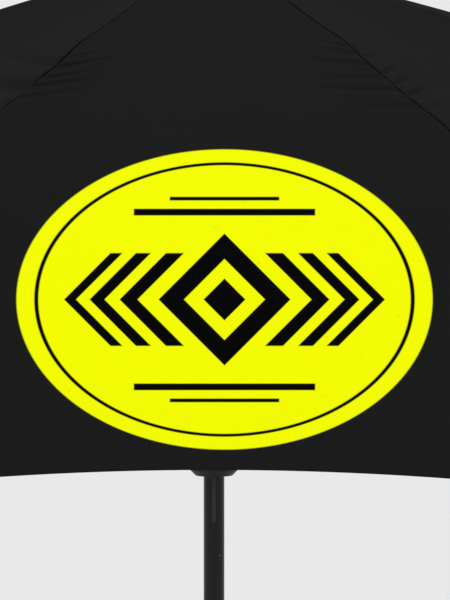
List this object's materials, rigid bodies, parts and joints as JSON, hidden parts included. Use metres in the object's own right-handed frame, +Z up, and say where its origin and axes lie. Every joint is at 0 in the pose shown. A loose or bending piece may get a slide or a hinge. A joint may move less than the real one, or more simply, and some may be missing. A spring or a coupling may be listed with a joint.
{
  "type": "stick umbrella",
  "caption": "Open stick umbrella with a domed cloth canopy on hinged ribs, folded by stretchers and a runner that slides on a straight shaft above a fluted grip",
  "frame": {"origin": "middle of the straight grip, on the shaft's axis", "axes": "+Z up the shaft to the ferrule; the front gore faces -Y"},
  "size_m": [0.9448, 0.9448, 0.7606],
  "materials": {
    "canopy_cloth": "black woven polyester with a faint sheen",
    "rib_rod": "black glass-fibre rod with crimped sleeves",
    "black_paint": "black stove enamel on pressed and drawn steel",
    "black_plastic": "moulded black plastic",
    "soft_grip": "soft-touch black coating",
    "spring_steel": "blackened spring steel",
    "collar_metal": "plated collar"
  },
  "bodies": {
    "shaft_body": {"shaft": "black_paint", "ferrule": "black_plastic", "crown_cap": "black_plastic", "top_notch": "black_plastic", "catches": "spring_steel", "handle": "soft_grip", "handle_collar": "collar_metal"},
    "runner_body": {"runner": "black_plastic"},
    "rib_body_1": {"rib_1": "rib_rod", "rib_tip_1": "black_plastic", "canopy_1": "canopy_cloth"},
    "stretcher_body_1": {"stretcher_1": "black_paint"},
    "rib_body_2": {"rib_2": "rib_rod", "rib_tip_2": "black_plastic", "canopy_2": "canopy_cloth"},
    "stretcher_body_2": {"stretcher_2": "black_paint"},
    "rib_body_3": {"rib_3": "rib_rod", "rib_tip_3": "black_plastic", "canopy_3": "canopy_cloth"},
    "stretcher_body_3": {"stretcher_3": "black_paint"},
    "rib_body_4": {"rib_4": "rib_rod", "rib_tip_4": "black_plastic", "canopy_4": "canopy_cloth"},
    "stretcher_body_4": {"stretcher_4": "black_paint"},
    "rib_body_5": {"rib_5": "rib_rod", "rib_tip_5": "black_plastic", "canopy_5": "canopy_cloth"},
    "stretcher_body_5": {"stretcher_5": "black_paint"},
    "rib_body_6": {"rib_6": "rib_rod", "rib_tip_6": "black_plastic", "canopy_6": "canopy_cloth"},
    "stretcher_body_6": {"stretcher_6": "black_paint"},
    "rib_body_7": {"rib_7": "rib_rod", "rib_tip_7": "black_plastic", "canopy_7": "canopy_cloth"},
    "stretcher_body_7": {"stretcher_7": "black_paint"},
    "rib_body_8": {"rib_8": "rib_rod", "rib_tip_8": "black_plastic", "canopy_8": "canopy_cloth"},
    "stretcher_body_8": {"stretcher_8": "black_paint"}
  },
  "joints": [
    {"name": "runner_slide", "type": "slide", "parent": "shaft_body", "child": "runner_body", "axis": [0, 0, -1], "range_m": [0, 0.25529]},
    {"name": "rib_hinge_1", "type": "hinge", "parent": "shaft_body", "child": "rib_body_1", "pos_m": [0.00421, -0.01016, 0.63899], "axis": [0.9239, 0.3827, 0], "range_deg": [0, 63.3], "deforming": ["canopy_1"]},
    {"name": "rib_hinge_2", "type": "hinge", "parent": "shaft_body", "child": "rib_body_2", "pos_m": [0.01016, -0.00421, 0.63899], "axis": [0.3827, 0.9239, 0], "range_deg": [0, 63.3], "deforming": ["canopy_2"]},
    {"name": "rib_hinge_3", "type": "hinge", "parent": "shaft_body", "child": "rib_body_3", "pos_m": [0.01016, 0.00421, 0.63899], "axis": [-0.3827, 0.9239, 0], "range_deg": [0, 63.3], "deforming": ["canopy_3"]},
    {"name": "rib_hinge_4", "type": "hinge", "parent": "shaft_body", "child": "rib_body_4", "pos_m": [0.00421, 0.01016, 0.63899], "axis": [-0.9239, 0.3827, 0], "range_deg": [0, 63.3], "deforming": ["canopy_4"]},
    {"name": "rib_hinge_5", "type": "hinge", "parent": "shaft_body", "child": "rib_body_5", "pos_m": [-0.00421, 0.01016, 0.63899], "axis": [-0.9239, -0.3827, 0], "range_deg": [0, 63.3], "deforming": ["canopy_5"]},
    {"name": "rib_hinge_6", "type": "hinge", "parent": "shaft_body", "child": "rib_body_6", "pos_m": [-0.01016, 0.00421, 0.63899], "axis": [-0.3827, -0.9239, 0], "range_deg": [0, 63.3], "deforming": ["canopy_6"]},
    {"name": "rib_hinge_7", "type": "hinge", "parent": "shaft_body", "child": "rib_body_7", "pos_m": [-0.01016, -0.00421, 0.63899], "axis": [0.3827, -0.9239, 0], "range_deg": [0, 63.3], "deforming": ["canopy_7"]},
    {"name": "rib_hinge_8", "type": "hinge", "parent": "shaft_body", "child": "rib_body_8", "pos_m": [-0.00421, -0.01016, 0.63899], "axis": [0.9239, -0.3827, 0], "range_deg": [0, 63.3], "deforming": ["canopy_8"]},
    {"name": "stretcher_hinge_1", "type": "hinge", "parent": "runner_body", "child": "stretcher_body_1", "pos_m": [0.00498, -0.01201, 0.44899], "axis": [-0.9239, -0.3827, 0], "range_deg": [0, 48.66]},
    {"name": "stretcher_hinge_2", "type": "hinge", "parent": "runner_body", "child": "stretcher_body_2", "pos_m": [0.01201, -0.00498, 0.44899], "axis": [-0.3827, -0.9239, 0], "range_deg": [0, 48.66]},
    {"name": "stretcher_hinge_3", "type": "hinge", "parent": "runner_body", "child": "stretcher_body_3", "pos_m": [0.01201, 0.00498, 0.44899], "axis": [0.3827, -0.9239, 0], "range_deg": [0, 48.66]},
    {"name": "stretcher_hinge_4", "type": "hinge", "parent": "runner_body", "child": "stretcher_body_4", "pos_m": [0.00498, 0.01201, 0.44899], "axis": [0.9239, -0.3827, 0], "range_deg": [0, 48.66]},
    {"name": "stretcher_hinge_5", "type": "hinge", "parent": "runner_body", "child": "stretcher_body_5", "pos_m": [-0.00498, 0.01201, 0.44899], "axis": [0.9239, 0.3827, 0], "range_deg": [0, 48.66]},
    {"name": "stretcher_hinge_6", "type": "hinge", "parent": "runner_body", "child": "stretcher_body_6", "pos_m": [-0.01201, 0.00498, 0.44899], "axis": [0.3827, 0.9239, 0], "range_deg": [0, 48.66]},
    {"name": "stretcher_hinge_7", "type": "hinge", "parent": "runner_body", "child": "stretcher_body_7", "pos_m": [-0.01201, -0.00498, 0.44899], "axis": [-0.3827, 0.9239, 0], "range_deg": [0, 48.66]},
    {"name": "stretcher_hinge_8", "type": "hinge", "parent": "runner_body", "child": "stretcher_body_8", "pos_m": [-0.00498, -0.01201, 0.44899], "axis": [-0.9239, 0.3827, 0], "range_deg": [0, 48.66]}
  ],
  "couplings": [
    {"joint": "rib_hinge_1", "follows": "runner_slide", "rad_per_m": 4.3241},
    {"joint": "rib_hinge_2", "follows": "runner_slide", "rad_per_m": 4.3241},
    {"joint": "rib_hinge_3", "follows": "runner_slide", "rad_per_m": 4.3241},
    {"joint": "rib_hinge_4", "follows": "runner_slide", "rad_per_m": 4.3241},
    {"joint": "rib_hinge_5", "follows": "runner_slide", "rad_per_m": 4.3241},
    {"joint": "rib_hinge_6", "follows": "runner_slide", "rad_per_m": 4.3241},
    {"joint": "rib_hinge_7", "follows": "runner_slide", "rad_per_m": 4.3241},
    {"joint": "rib_hinge_8", "follows": "runner_slide", "rad_per_m": 4.3241},
    {"joint": "stretcher_hinge_1", "follows": "runner_slide", "rad_per_m": 3.3234},
    {"joint": "stretcher_hinge_2", "follows": "runner_slide", "rad_per_m": 3.3234},
    {"joint": "stretcher_hinge_3", "follows": "runner_slide", "rad_per_m": 3.3234},
    {"joint": "stretcher_hinge_4", "follows": "runner_slide", "rad_per_m": 3.3234},
    {"joint": "stretcher_hinge_5", "follows": "runner_slide", "rad_per_m": 3.3234},
    {"joint": "stretcher_hinge_6", "follows": "runner_slide", "rad_per_m": 3.3234},
    {"joint": "stretcher_hinge_7", "follows": "runner_slide", "rad_per_m": 3.3234},
    {"joint": "stretcher_hinge_8", "follows": "runner_slide", "rad_per_m": 3.3234}
  ]
}
